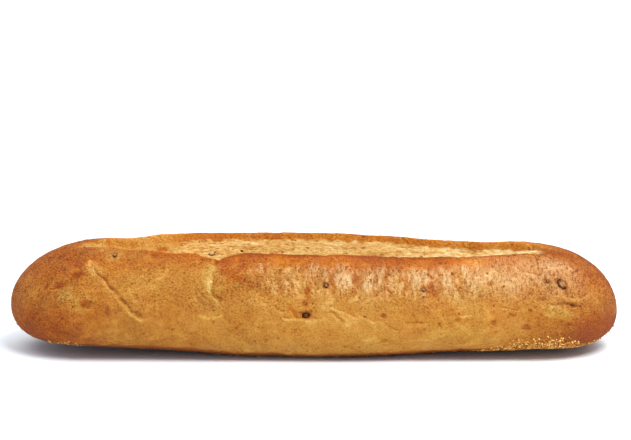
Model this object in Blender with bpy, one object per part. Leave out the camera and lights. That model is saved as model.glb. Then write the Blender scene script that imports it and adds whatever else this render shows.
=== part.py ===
"""A long wheat roll, scored once along its top, lying on its flattened underside.

One solid of baked dough. Its sections are rounded outlines with a quarter ellipse at each tip. The single cut
along the top has opened: a raised near lip, a torn hollow behind it that rises to the far side, and a raised
far shoulder. Folds, stretch grooves and a few grains are relief in the crust, and coarse semolina clings to the
edge that stood on the board.

Frame: metres, +Z up, +X along the roll, -Y towards its shown side. The origin is on the board, under the middle.
"""

import math
import random

import bmesh
import bpy
import numpy as np
from mathutils import Matrix, Vector

MM = 0.001

# Driving sizes
LENGTH = 280 * MM
WIDTH = 66 * MM
HEIGHT = 50 * MM
GIRTH_RADIUS = 31 * MM  # turns an angle round the section into a distance along the crust

# Section: an ellipse above the waist and a squarer outline below it, pressed flat on the board
WAIST = 19 * MM
WAIST_TILT = 1.5 * MM  # the waist is this much higher at the left tip and lower at the right one
UNDER_POWER = 2.8
SINK = 2.0 * MM  # how far the middle of the outline is pressed into its flat spot
SETTLE = 0.5 * MM  # the crust turns flat over this height
TAPER = 0.07  # share of the width lost towards the tips

# Tips: the reach of the quarter ellipse that closes each outline, left and right
PLAN_REACH = (40 * MM, 38 * MM)
TOP_REACH = (45 * MM, 46 * MM)
UNDER_REACH = (22 * MM, 23 * MM)
END_LIFT = (6.4 * MM, 4.6 * MM)  # how far the underside rises towards the tips
LIFT_REACH = (125 * MM, 105 * MM)

# Unevenness of the crest line: place along the roll, reach, height
CREST_SWELLS = (
    (76 * MM, 38 * MM, -2.8 * MM),
    (96 * MM, 13 * MM, 0.5 * MM),
    (-84 * MM, 8 * MM, -1.0 * MM),
    (-104 * MM, 14 * MM, 0.5 * MM),
    (-20 * MM, 30 * MM, 0.5 * MM),
)

# The cut: its ends along X, then (x in mm, degrees) points of its lips, from the front waist over the top
CUT_ENDS = (-106 * MM, 108 * MM)
CUT_FADE = 22 * MM
NEAR_LIP = ((-106, 75), (-86, 73), (-66, 63), (-24, 60), (-2, 58), (16, 61), (34, 60), (64, 61), (84, 66), (108, 68))
FAR_LIP = ((-106, 84), (-84, 88), (-60, 94), (-32, 103), (8, 103), (24, 98), (52, 88), (84, 86), (108, 84))
NOTCH_X = -43.5 * MM  # where the near lip sags and the crust folded
NOTCH_REACH = (8 * MM, 6 * MM)
NOTCH_DROP = 7  # degrees
NEAR_EDGE = 1.3 * MM  # the near lip falls to the hollow over this length
NEAR_LIP_RISE = (0.4 * MM, 1.3 * MM)  # left and right of the notch
NEAR_LIP_REACH = 6 * MM
NEAR_LIP_GROWS = 10 * MM  # the near lip grows from one height to the other over this length
HOLLOW_DEPTH = 4.2 * MM
HOLLOW_RIM = 1.4 * MM
HOLLOW_BOW = 0.8  # 1 is a straight climb from the hollow's bottom to its rim
FAR_EDGE = 1.9 * MM  # the hollow climbs to the far lip over this length
FAR_LIP_RISE = 2.4 * MM
FAR_LIP_REACH = 9 * MM

# Folds of the crust: (x, girth) points in mm from the front waist, then width, depth and the rim beside it in mm
FOLDS = (
    (((-99.5, 28), (-97.5, 22.5), (-93.5, 18.6), (-84, 8.9), (-77.5, 2.3)), 1.5, 0.7, 0.5),
    (((-43.5, 29), (-44.6, 22), (-45.5, 16.5), (-44.5, 13), (-42, 10.5)), 1.5, 0.8, 0.4),
    (((-11, 1.4), (-3.5, 2), (3, 1)), 1.3, 0.5, 0.3),
    (((13, 0.5), (7, 5)), 1.3, 0.5, 0.3),
    (((106, 9), (112, 9.5), (117, 9.7)), 1.3, 0.6, 0.4),
)
FOLD_NARROWING = 1.4  # how much narrower a fold's groove is than its rim

# Grooves where the crust stretched, straight down from the near lip, in mm
STRETCH_X = (-2, 8, 19, 27, 33, 41, 53, 65)
STRETCH_GIRTH = (11, 30)
STRETCH_FADE = (6, 4)  # at the lower and the upper end
STRETCH_WIDTH = 1.9
STRETCH_DEPTH = 0.45

# Grains in the crust: place along X and girth, length and width, all in mm, and turn in degrees
GRAINS = (
    (110.5, 19.4, 5.6, 3.6, -56),
    (-3.5, 3.8, 3.8, 2.4, 5),
    (-90, 33.5, 2.7, 2.2, 80),
    (5.5, 17.2, 2.1, 1.8, 40),
    (48.9, 16.3, 2.1, 1.8, 60),
    (115.5, 9.7, 2.4, 1.8, 20),
    (104.6, 20.8, 1.7, 1.5, 0),
    (-46.5, 37, 2.6, 2.2, 30),
    (60, 66, 4.0, 2.4, 30),
    (-70, 74, 3.6, 2.2, 120),
    (-20, 86, 3.0, 2.0, 15),
)
GRAIN_SHOWS = 0.3  # share of a grain's thickness above the crust

# Coarse semolina along the edge of the underside
SEMOLINA_SIZE = (1.0 * MM, 1.5 * MM)
SEMOLINA_COUNT = 76
SEMOLINA_ANGLES = ((-62, -40), (220, 242))
LOWEST_SEMOLINA = 0.9 * MM  # above the board
SEMOLINA_SPAN = 0.93  # share of the length
SEMOLINA_CROWDING = 0.6  # 1 is even, and less leaves more of it towards the tips
SEMOLINA_SUNK = 0.12  # share of its size
SEED = 7

# Slow lumps of the dough
LUMP_HEIGHT = 0.25 * MM
LONG_LUMP = 17 * MM
SHORT_LUMP = 9.5 * MM

# Mesh
STATIONS = 86
OUTLINE_STEPS = 4001  # short steps that measure the outline seen from above
RING_BENDS = (-90, -35, 200, 270)  # degrees where the spacing of a ring's points changes
NEAR_SHOULDER = 22  # degrees of closely spaced points before the near lip
FAR_SHOULDER = 24  # and after the far lip
RING_COUNTS = (8, 8, 6, 2, 6, 2, 5, 6, 6)  # faces in each stretch that ring_angles lists

CRUST_COLOUR = (0.52, 0.26, 0.075, 1)


def ease(t):
    """0 below 0, 1 above 1 and smooth between."""
    t = np.clip(t, 0, 1)
    return t * t * (3 - 2 * t)


def mound(x, centre, reach):
    """A smooth bump of height 1, with one reach or one for each side."""
    left, right = reach if isinstance(reach, tuple) else (reach, reach)
    return np.exp(-(((x - centre) / np.where(x < centre, left, right)) ** 2))


def through(x, points):
    """A smooth rise or fall from each (x in mm, value) point to the next."""
    value = points[0][1]
    for (start, before), (end, after) in zip(points, points[1:]):
        value = value + (after - before) * ease((x / MM - start) / (end - start))
    return value


def closing(x, reach):
    """Share of the full outline at x: a quarter ellipse closes it at each tip."""
    share = 1.0
    for gap, length in ((x + LENGTH / 2, reach[0]), (LENGTH / 2 - x, reach[1])):
        share = share * np.sqrt(1 - (1 - np.clip(gap / length, 0, 1)) ** 2)
    return share


def crest(x):
    """Height of the outline's top, before the cut."""
    return HEIGHT + sum(size * mound(x, place, reach) for place, reach, size in CREST_SWELLS)


def waist(x):
    return WAIST - WAIST_TILT * x / (LENGTH / 2)


def form(x, angle):
    """Points of the plain roll at x and an angle from the front waist over the top, in radians."""
    half = WIDTH / 2 * (1 - TAPER * (2 * x / LENGTH) ** 2) * closing(x, PLAN_REACH)
    over = (crest(x) - waist(x)) * closing(x, TOP_REACH)
    lift = END_LIFT[0] * ease(-x / LIFT_REACH[0]) + END_LIFT[1] * ease(x / LIFT_REACH[1])
    under = (waist(x) + SINK - lift) * closing(x, UNDER_REACH)
    across, up = np.cos(angle), np.sin(angle)
    square = 2 / UNDER_POWER
    y = np.where(up >= 0, across, np.sign(across) * np.abs(across) ** square)
    z = np.where(up >= 0, over * up, -under * np.abs(up) ** square)
    return np.stack([x + 0 * y, -half * y, waist(x) + z], axis=-1)


def outward(x, angle):
    """Unit normals of the plain roll."""
    step, turn = 0.2 * MM, 0.01
    limit = LENGTH / 2 - step
    x = np.clip(x, -limit, limit)
    along = form(x + step / 2, angle) - form(x - step / 2, angle)
    around = form(x, angle + turn) - form(x, angle - turn)
    normal = np.cross(along, around)
    return normal / np.linalg.norm(normal, axis=-1, keepdims=True)


def cut_strength(x):
    """1 along the cut, fading to 0 at its ends."""
    return ease((x - CUT_ENDS[0]) / CUT_FADE) * ease((CUT_ENDS[1] - x) / CUT_FADE)


def near_lip(x):
    """Angle of the near lip, which sags to the notch."""
    return np.radians(through(x, NEAR_LIP) - NOTCH_DROP * mound(x, NOTCH_X, NOTCH_REACH))


def far_lip(x):
    """Angle of the far lip. The cut is widest left of the middle."""
    return np.radians(through(x, FAR_LIP))


def cut_relief(x, angle):
    """Height of the crust and of the torn hollow round the cut."""
    behind = (angle - near_lip(x)) * GIRTH_RADIUS
    gape = (far_lip(x) - near_lip(x)) * GIRTH_RADIUS
    rise = NEAR_LIP_RISE[0] + (NEAR_LIP_RISE[1] - NEAR_LIP_RISE[0]) * ease((x - NOTCH_X) / NEAR_LIP_GROWS)
    near = rise * np.exp(np.minimum(behind, 0) / NEAR_LIP_REACH)
    hollow = -HOLLOW_DEPTH + (HOLLOW_DEPTH - HOLLOW_RIM) * np.clip(behind / gape, 0, 1) ** HOLLOW_BOW
    far = FAR_LIP_RISE * np.exp(-np.maximum(behind - gape, 0) / FAR_LIP_REACH)
    past_near = ease(behind / NEAR_EDGE)
    past_far = ease((behind - gape) / FAR_EDGE + 1)
    height = near * (1 - past_near) + hollow * past_near * (1 - past_far) + far * past_far
    return height * cut_strength(x)


def line_distance(x, girth, points):
    """Signed distance to a line of points, positive on its left."""
    nearest = np.full(np.shape(x), np.inf)
    side = np.ones(np.shape(x))
    for (ax, ag), (bx, bg) in zip(points, points[1:]):
        dx, dg = bx - ax, bg - ag
        share = np.clip(((x - ax) * dx + (girth - ag) * dg) / (dx * dx + dg * dg), 0, 1)
        away = np.hypot(x - ax - share * dx, girth - ag - share * dg)
        left = np.sign(dx * (girth - ag) - dg * (x - ax))
        side = np.where(away < nearest, left, side)
        nearest = np.minimum(nearest, away)
    return nearest * side


def fold_relief(x, girth):
    """Creases, each with a raised rim on one side, and the stretch grooves. Works in millimetres."""
    height = np.zeros(np.shape(x))
    for points, width, depth, rim in FOLDS:
        away = line_distance(x, girth, points)
        height += rim * np.exp(-(((away + width) / width) ** 2))
        height -= depth * np.exp(-((FOLD_NARROWING * away / width) ** 2))
    low, high = STRETCH_GIRTH
    window = ease((girth - low) / STRETCH_FADE[0]) * ease((high - girth) / STRETCH_FADE[1])
    for place in STRETCH_X:
        height -= STRETCH_DEPTH * window * np.exp(-(((x - place) / STRETCH_WIDTH) ** 2))
    return height


def unevenness(x, angle):
    """Slow lumps of the dough, in metres."""
    long = np.sin(x / LONG_LUMP + 1.3) * np.cos(angle * 2 + 0.6)
    short = 0.7 * np.sin(x / SHORT_LUMP + 2.1 * np.sin(angle + 0.4))
    return LUMP_HEIGHT * (long + short)


def skin(x, angle):
    """Points of the crust."""
    girth = angle * GIRTH_RADIUS
    height = cut_relief(x, angle) + fold_relief(x / MM, girth / MM) * MM
    height = (height + unevenness(x, angle)) * closing(x, PLAN_REACH)
    points = form(x, angle) + outward(x, angle) * height[..., None]
    z = points[..., 2]
    points[..., 2] = np.where(z > SETTLE, z, np.maximum(z + SETTLE, 0) ** 2 / (4 * SETTLE))
    return points


def stations(count):
    """Places along the roll, evenly spaced along its outline seen from above, without the tips."""
    fine = LENGTH / 2 * np.sin(np.linspace(-math.pi / 2, math.pi / 2, OUTLINE_STEPS))
    half = WIDTH / 2 * closing(fine, PLAN_REACH)
    run = np.concatenate([[0], np.cumsum(np.hypot(np.diff(fine), np.diff(half)))])
    return np.interp(np.linspace(0, run[-1], count + 2)[1:-1], run, fine)


def ring_angles(x):
    """Angles of one ring, so that rows of points run along both lips of the cut."""
    near, far = float(near_lip(x)), float(far_lip(x))
    down, front, back, down_again = np.radians(RING_BENDS)
    stops = [down, front, near - math.radians(NEAR_SHOULDER), near, near + NEAR_EDGE / GIRTH_RADIUS]
    stops += [far - FAR_EDGE / GIRTH_RADIUS, far, far + math.radians(FAR_SHOULDER), back, down_again]
    return np.concatenate([np.linspace(a, b, n, endpoint=False) for a, b, n in zip(stops, stops[1:], RING_COUNTS)])


def make_crust():
    """The roll as one closed mesh: rings of points joined by faces, with a fan of faces at each tip."""
    mesh = bmesh.new()
    rings = []
    for x in stations(STATIONS):
        angles = ring_angles(x)
        rings.append([mesh.verts.new(p) for p in skin(np.full(len(angles), x), angles)])
    for ring, after in zip(rings, rings[1:]):
        for k in range(len(ring)):
            mesh.faces.new((ring[k - 1], after[k - 1], after[k], ring[k]))
    for tip_x, ring, turned in ((-LENGTH / 2, rings[0], False), (LENGTH / 2, rings[-1], True)):
        tip = mesh.verts.new((tip_x, 0, float(waist(tip_x))))
        for k in range(len(ring)):
            a, b = ring[k - 1], ring[k]
            mesh.faces.new((b, tip, a) if not turned else (a, tip, b))
    bmesh.ops.recalc_face_normals(mesh, faces=mesh.faces)
    return mesh


def add_object(name, mesh, collection):
    data = bpy.data.meshes.new(name)
    mesh.to_mesh(data)
    mesh.free()
    made = bpy.data.objects.new(name, data)
    collection.objects.link(made)
    return made


def place_on_crust(x, angle, turn, sunk):
    """A matrix that stands on the crust there: Z outwards, X along the roll turned by this angle."""
    at = (np.array([x]), np.array([angle]))
    point = skin(*at)[0]
    out = Vector(outward(*at)[0])
    along = Vector((1, 0, 0))
    along = (along - along.project(out)).normalized()
    frame = Matrix((along, out.cross(along), out)).transposed().to_4x4()
    return Matrix.Translation(Vector(point) - out * sunk) @ frame @ Matrix.Rotation(turn, 4, "Z")


def make_grain(number, x, girth, length, width, turn, collection):
    """A kernel sunk in the crust."""
    mesh = bmesh.new()
    thick = width * 0.8 * MM
    bmesh.ops.create_uvsphere(mesh, u_segments=8, v_segments=5, radius=0.5)
    bmesh.ops.scale(mesh, vec=(length * MM, width * MM, thick), verts=mesh.verts)
    where = place_on_crust(x * MM, girth * MM / GIRTH_RADIUS, math.radians(turn), thick * (0.5 - GRAIN_SHOWS))
    bmesh.ops.transform(mesh, matrix=where, verts=mesh.verts)
    add_object(f"grain_{number}", mesh, collection)


def semolina_spots():
    """Places of the coarsest semolina: most of it towards the tips, on both sides."""
    draw = random.Random(SEED)
    spots = []
    while len(spots) < SEMOLINA_COUNT:
        low, high = SEMOLINA_ANGLES[len(spots) % 2]
        share = draw.uniform(-1, 1)
        x = LENGTH / 2 * SEMOLINA_SPAN * math.copysign(abs(share) ** SEMOLINA_CROWDING, share)
        angle = math.radians(draw.uniform(low, high))
        height = skin(np.array([x]), np.array([angle]))[0][2]
        if height > LOWEST_SEMOLINA:
            spots.append((x, angle, draw.uniform(*SEMOLINA_SIZE), draw.uniform(0, math.pi)))
    return spots


def make_semolina(number, x, angle, size, turn, collection):
    mesh = bmesh.new()
    bmesh.ops.create_icosphere(mesh, subdivisions=1, radius=size / 2)
    bmesh.ops.transform(mesh, matrix=place_on_crust(x, angle, turn, size * SEMOLINA_SUNK), verts=mesh.verts)
    add_object(f"semolina_{number}", mesh, collection)


def crust_material():
    material = bpy.data.materials.new("crust")
    material.use_nodes = True
    shader = material.node_tree.nodes["Principled BSDF"]
    shader.inputs["Base Color"].default_value = CRUST_COLOUR
    shader.inputs["Roughness"].default_value = 0.5
    shader.inputs["Metallic"].default_value = 0.0
    material.diffuse_color = CRUST_COLOUR
    return material


def fuse(body, loose):
    """Joins the collection's pieces to the body and removes them."""
    union = body.modifiers.new("fuse", "BOOLEAN")
    union.operation = "UNION"
    union.operand_type = "COLLECTION"
    union.collection = loose
    union.solver = "EXACT"
    graph = bpy.context.evaluated_depsgraph_get()
    fused = bpy.data.meshes.new_from_object(body.evaluated_get(graph))
    body.modifiers.clear()
    body.data = fused
    for piece in list(loose.objects):
        bpy.data.objects.remove(piece)
    bpy.data.collections.remove(loose)


def main():
    for old in list(bpy.data.objects):
        bpy.data.objects.remove(old)
    scene = bpy.context.scene.collection
    roll = add_object("wheat_roll", make_crust(), scene)
    loose = bpy.data.collections.new("toppings")
    scene.children.link(loose)
    for number, grain in enumerate(GRAINS):
        make_grain(number, *grain, loose)
    for number, spot in enumerate(semolina_spots()):
        make_semolina(number, *spot, loose)
    fuse(roll, loose)
    roll.data.materials.clear()
    roll.data.materials.append(crust_material())
    roll.data.shade_smooth()


if __name__ == "__main__":
    main()
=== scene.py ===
"""Looks of the wheat roll: its crust with the torn cut, the kernels, the bran and the semolina.

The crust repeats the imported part's own surface and adds relief finer than the solid's faces. A place on it is
given as x, along the roll, and girth, round it from the front waist over the top, both in millimetres.
"""

import math

import bmesh
import bpy
import numpy as np
from mathutils import Matrix, Vector


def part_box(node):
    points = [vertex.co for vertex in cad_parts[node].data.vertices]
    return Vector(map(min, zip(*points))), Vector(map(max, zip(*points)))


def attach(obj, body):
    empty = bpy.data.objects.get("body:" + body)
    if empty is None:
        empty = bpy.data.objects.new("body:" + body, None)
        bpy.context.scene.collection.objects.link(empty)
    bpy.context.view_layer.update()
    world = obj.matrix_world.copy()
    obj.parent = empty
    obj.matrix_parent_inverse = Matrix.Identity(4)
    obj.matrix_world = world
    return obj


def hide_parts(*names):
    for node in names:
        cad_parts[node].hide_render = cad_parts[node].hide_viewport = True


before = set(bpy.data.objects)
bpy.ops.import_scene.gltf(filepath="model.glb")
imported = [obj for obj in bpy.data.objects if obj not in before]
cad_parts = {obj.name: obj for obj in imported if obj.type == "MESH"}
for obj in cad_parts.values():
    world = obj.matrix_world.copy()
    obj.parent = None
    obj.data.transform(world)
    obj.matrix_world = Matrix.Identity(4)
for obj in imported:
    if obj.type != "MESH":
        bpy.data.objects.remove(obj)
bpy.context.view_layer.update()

MM = 0.001
SEED = 7

# Form of the part, as its solid has it
LOW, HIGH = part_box("wheat_roll")
LENGTH = HIGH.x - LOW.x
WIDTH = 66 * MM
HEIGHT = 50 * MM
GIRTH_RADIUS = 31 * MM
WAIST = 19 * MM
WAIST_TILT = 1.5 * MM
UNDER_POWER = 2.8
SINK = 2.0 * MM
SETTLE = 0.5 * MM
TAPER = 0.07
PLAN_REACH = (40 * MM, 38 * MM)
TOP_REACH = (45 * MM, 46 * MM)
UNDER_REACH = (22 * MM, 23 * MM)
END_LIFT = (6.4 * MM, 4.6 * MM)
LIFT_REACH = (125 * MM, 105 * MM)
CREST_SWELLS = (
    (76 * MM, 38 * MM, -2.8 * MM),
    (96 * MM, 13 * MM, 0.5 * MM),
    (-84 * MM, 8 * MM, -1.0 * MM),
    (-104 * MM, 14 * MM, 0.5 * MM),
    (-20 * MM, 30 * MM, 0.5 * MM),
)
LUMP_HEIGHT = 0.25 * MM
LONG_LUMP = 17 * MM
SHORT_LUMP = 9.5 * MM

# The cut, with (x in mm, degrees above the front waist) points of its lips
CUT_ENDS = (-106 * MM, 108 * MM)
CUT_FADE = 22 * MM
NEAR_LIP = (
    (-106, 75), (-86, 73), (-66, 63), (-24, 60), (-2, 58),
    (16, 61), (34, 60), (64, 61), (84, 66), (108, 68),
)
FAR_LIP = (
    (-106, 84), (-84, 88), (-60, 94), (-32, 103), (8, 103),
    (24, 98), (52, 88), (84, 86), (108, 84),
)
NEAR_WAVER = ((0.5, 7, 11), (0.3, 2.4, 12))  # noise as (amount in mm, size in mm, seed)
FAR_WAVER = ((0.5, 9, 13), (0.3, 3, 14))
NOTCH_X = -43.5 * MM
NOTCH_REACH = (8 * MM, 6 * MM)
NOTCH_DROP = 7
NEAR_EDGE = 1.3 * MM
NEAR_LIP_RISE = (0.4 * MM, 1.3 * MM)
NEAR_LIP_REACH = 6 * MM
NEAR_LIP_GROWS = 10 * MM
HOLLOW_DEPTH = 4.2 * MM
HOLLOW_RIM = 1.4 * MM
HOLLOW_BOW = 0.8
FAR_EDGE = 1.9 * MM
FAR_LIP_RISE = 2.4 * MM
FAR_LIP_REACH = 9 * MM
CRUMB_SHOWS = (-68 * MM, 106 * MM)  # between these the cut has torn through to the crumb
CRUMB_SLANT = 5 * MM
CRUMB_FRAY = 3 * MM
CRUMB_FADES = (2.5 * MM, 6 * MM)
CRUMB_EDGE = 0.2
CRUMB_WIDTH = (1.15, 0.5)  # as a share of the cut's, before and after it narrows on the right
CRUMB_NARROWS = (82 * MM, 22 * MM)  # where it starts to narrow, and over how far
CRUMB_RAGGED = ((0.6, 4, 71), (0.4, 1.3, 72))

# Folds: (x, girth) points, then width, depth and the rim beside it, all in mm
FOLDS = (
    (((-99.5, 28), (-97.5, 22.5), (-93.5, 18.6), (-84, 8.9), (-77.5, 2.3)), 1.5, 0.6, 0.45),
    (((-43.5, 29), (-44.6, 22), (-45.5, 16.5), (-44.5, 13), (-42, 10.5)), 1.4, 0.5, 0.25),
    (((-12, 2.2), (-3.5, 2.6), (3, 2.6)), 0.9, 0.4, 0.5),
    (((13, 0.5), (7, 5)), 1.3, 0.5, 0.4),
    (((106.5, 9.6), (112, 9.9), (117.5, 9.7)), 1.0, 0.9, 0.5),
)
FOLD_NARROWING = 2.0
# Small wrinkles that the solid leaves out
WRINKLES = (
    (((-84, 12.5), (-80, 12.6), (-78.5, 10.5)), 0.8, 0.35, 0.3),
    (((-82, 4.5), (-79, 2.4), (-77, 1)), 0.8, 0.3, 0.3),
    (((-71, 20), (-68.5, 22), (-66.5, 25)), 0.9, 0.25, 0.3),
    (((-45.8, 17), (-45, 13.6), (-43.8, 11), (-42.2, 8.8)), 0.9, 0.6, 0.5),
    (((-71.5, 4.5), (-70.6, 8)), 0.8, 0.3, 0.25),
    (((-50, 3.4), (-46, 2.8), (-42, 3.2)), 0.8, 0.2, 0.3),
    (((-51, 19), (-49, 15.5), (-47, 12.6)), 0.6, 0.2, 0.3),
    (((-53, 16), (-50.5, 13), (-47.5, 10.2)), 0.6, 0.2, 0.3),
    (((-55, 12.5), (-51, 9.6), (-48, 8)), 0.6, 0.2, 0.25),
    (((-33, 10.5), (-28, 11), (-22, 9.6)), 0.9, 0.3, 0.3),
    (((-22, 10), (-18.5, 7.6), (-14, 5.5)), 0.8, 0.2, 0.3),
    (((5, 7), (8, 4.8), (11, 2.4), (14, 0.4)), 0.9, 0.4, 0.4),
    (((9, 7), (14, 5), (19, 3.2)), 0.8, 0.3, 0.35),
    (((16, 10.5), (22, 11.5), (27, 10.4)), 0.8, 0.2, 0.3),
    (((22, 3), (26, 1.6), (31, 1.9)), 0.9, 0.35, 0.35),
    (((31, 0.9), (35.5, -0.9), (39, -1.2)), 0.9, 0.45, 0.15),
    (((41, 0.9), (45, 0.2), (49, 1)), 0.9, 0.35, 0.3),
    (((57, 3.6), (63, 5.2), (69, 4.6)), 0.8, 0.25, 0.3),
    (((84, 9), (89, 7.6), (93, 8.2)), 0.9, 0.3, 0.3),
    (((98, 12), (100.4, 10.9), (103, 12.4)), 0.7, 0.3, 0.1),
    (((113, 13.5), (117, 13), (121, 14.6)), 0.8, 0.35, 0.35),
    (((92, 27), (97, 24.6), (101, 24)), 0.8, 0.25, 0.25),
)
FOLD_WARP = 0.8
STRETCH_X = (-2, 8, 19, 27, 33, 41, 53, 65)
STRETCH_GIRTH = (11, 30)
STRETCH_FADE = (6, 4)
STRETCH_WIDTH = 1.9
STRETCH_DEPTH = 0.45

# Patches: x, girth, half length, half width (mm), turn (degrees), height (mm), browning, warmth
PATCHES = (
    (-113.4, 17.3, 2.2, 1.6, 0, -0.1, 0.30, 0.4),
    (-101.8, 8.0, 2.6, 1.8, 0, -0.1, 0.26, 0.5),
    (-105.7, 21.7, 2.6, 1.6, 0, -0.1, 0.26, 0.5),
    (-91.7, 4.1, 1.0, 2.2, 0, -0.1, 0.26, 0.2),
    (-120, 17, 1.2, 1.2, 0, -0.1, 0.25, 0.2),
    (-111, 11.5, 5.0, 3.6, 20, 0, -0.12, -0.55),
    (-102, 8.5, 6.0, 4.5, 0, 0, -0.05, -0.45),
    (-99, 25, 4.5, 3.0, -50, 0.2, -0.22, -0.3),
    (-103.5, 42.4, 5.0, 2.0, 0, 0, -0.25, -0.4),
    (-97, 44, 2.0, 3.0, 0, 0, -0.12, -0.4),
    (-79.5, 11.2, 1.7, 1.1, -40, -0.2, 0.2, 0.1),
    (-69, 21, 2.5, 3.5, 10, 0, -0.12, -0.1),
    (-47.2, 23, 3.2, 4.5, 10, 0.15, -0.12, -0.3),
    (-45.6, 26, 1.8, 3.5, 0, 0, -0.08, -0.4),
    (-46.2, 17, 1.6, 4.0, -10, 0.1, -0.12, -0.3),
    (-40, 26, 1.6, 6.0, 0, 0, 0.06, 0.3),
    (-37.5, 21, 4.6, 7.0, 0, 0.5, 0.04, 0.5),
    (-30, 23, 8.0, 6.5, 0, 0, 0.07, 0.6),
    (-45.5, 3.2, 4.0, 1.6, 0, 0, -0.1, -0.1),
    (-25, 9.5, 6.0, 2.2, -10, 0.1, -0.1, 0),
    (-10, 6.5, 0.8, 3.4, 35, -0.2, 0.2, 0.4),
    (-3.5, 5.6, 3.0, 1.0, 0, -0.2, 0.3, 0.2),
    (-4.3, 9.3, 1.3, 1.6, 0, -0.1, 0.4, 0.4),
    (-2.5, 12, 1.6, 4.0, 0, -0.1, 0.14, 0.3),
    (30.9, 4.0, 1.0, 0.9, 0, -0.2, 0.5, 0.5),
    (56, 0.9, 1.1, 1.0, 0, -0.1, 0.35, 0.4),
    (14, -12.5, 1.0, 0.9, 0, -0.1, 0.4, 0.2),
    (31.2, -8.4, 1.2, 1.0, 0, -0.1, 0.3, 0.2),
    (64.3, 2.6, 1.3, 1.0, 0, -0.1, 0.3, 0.4),
    (80.1, 1.3, 1.2, 1.0, 0, -0.1, 0.28, 0.3),
    (94, -0.7, 1.6, 1.2, 0, -0.1, 0.4, 0.3),
    (96.4, 6.8, 1.2, 0.8, 0, -0.1, 0.5, 0.4),
    (88.6, 4.8, 0.9, 0.7, 0, -0.1, 0.45, 0.4),
    (78.5, 19.9, 1.4, 1.0, 0, -0.1, 0.35, 0.2),
    (52.2, 20.5, 1.2, 4.2, 12, -0.1, 0.22, 0.6),
    (80, 24, 3.2, 3.0, 0, 0.1, -0.08, -0.2),
    (100.4, 10.4, 2.2, 1.6, 0, 0.2, -0.1, 0),
    (110, 5.5, 6.5, 2.6, -15, 0, -0.2, -0.5),
    (97, 17, 7.0, 4.0, 0, 0, 0.05, 0.3),
    (-69.2, 42.1, 2.6, 1.8, 0, 0, 0.3, 0.8),
    (-89.6, 33.4, 2.2, 3.0, 0, 0, -0.2, -0.3),
    (-91, 36, 14, 5, 0, 0, -0.07, -0.45),
    (136.5, 25.3, 1.6, 1.4, 0, 0.5, 0.1, 0),
)
# Stretched bands of the crust beside the grooves, painted paler, partly as paler stretched skin and partly as a
# painted highlight on the ridges: x, half width (mm), how pale
PALE_HIGHLIGHT_BANDS = (
    (-18.0, 1.5, 0.12),
    (-4.9, 1.2, 0.15),
    (4.2, 1.2, 0.15),
    (15.4, 1.1, 0.5),
    (23.5, 1.5, 0.15),
    (30.3, 1.0, 0.2),
    (36.2, 1.3, 0.4),
    (46.6, 3.2, 0.33),
    (58.8, 3.0, 0.12),
)

# Kernels: x, girth, length, width (mm), turn (degrees), how dark, depth of the dent round it (mm)
KERNELS = (
    (111, 19.8, 5.8, 3.9, -58, 0.42, 0.35),
    (-3.5, 3.8, 3.8, 2.4, 5, 0.7, 0.8),
    (-90, 34, 3.6, 1.7, 88, 0.45, 0.4),
    (5.5, 17.2, 2.5, 2.2, 40, 0.5, 0.4),
    (48.9, 16.3, 2.3, 2.0, 60, 0.45, 0.3),
    (115.5, 9.7, 1.9, 1.4, 20, 0.6, 0.3),
    (104.6, 20.8, 1.7, 1.5, 0, 0.5, 0.3),
    (-46.5, 38.0, 3.2, 2.8, 30, 0.15, 0.05),
    (-33, 41.2, 1.5, 1.3, 0, 1.0, 0.3),
    (60, 66, 4.0, 2.4, 30, 0.5, 0.3),
    (-70, 74, 3.6, 2.2, 120, 0.6, 0.3),
    (-20, 86, 3.0, 2.0, 15, 0.4, 0.3),
)
KERNEL_SHOWS = 0.34
KERNEL_PLUMP = 0.85
KERNEL_TAPER = 0.35
CREASE_WIDTH = 0.07
CREASE_DEPTH = 0.14
RING_WIDTH = 0.45

# Semolina and bran: how many are strewn, before those off their own part of the crust are left out
SEMOLINA_ANYWHERE = 11000
SEMOLINA_RIGHT = 8500
SEMOLINA_RIGHT_X = (72, 130)
SEMOLINA_SIZES = (0.4, 1.0)
# How high in mm and how densely it lies, added up over the parts of the underside's edge
SEMOLINA_HEIGHT = {"everywhere": 1.6, "right_foot": 6.8, "near_right": 1.0, "left_tip": 3.8}
SEMOLINA_DENSITY = {"everywhere": 0.1, "right": 0.75, "near_right": 0.35, "left_tip": 0.45, "left_half": 0.2}
BRAN_COUNT = 200
GRAIN_UNEVEN = 0.28

# Fine relief, with noise as (height in mm, size in mm, seed)
CRUST_SOFT = ((0.16, 9, 31), (0.10, 3.6, 32), (0.08, 1.7, 33))
BLISTER_HEIGHT = 0.16
PORE_DEPTH = 0.2
SCUFF_HEIGHT = 0.22
SCUFF_SLANT = ((0.94, 0, -0.34), (0, 1, 0), (0.34, 0, 0.94))
STROKE_HEIGHT = 0.12
STROKE_BEND = 1.6
CRUMB_STRANDS = ((0.28, (9, 2.2, 2.2), 21), (0.24, (3.6, 1.3, 1.3), 22), (0.16, 1.2, 25))
CRUMB_SWELL = 0.15
TEAR_DEPTH = 0.4
CRUMB_PORE_DEPTH = 0.55

# Mesh
STATIONS = 396
RING_STOPS = (-90, -44, 200, 270)
RING_COUNTS = (20, 112, 10, 44, 10, 30, 20)
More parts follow.
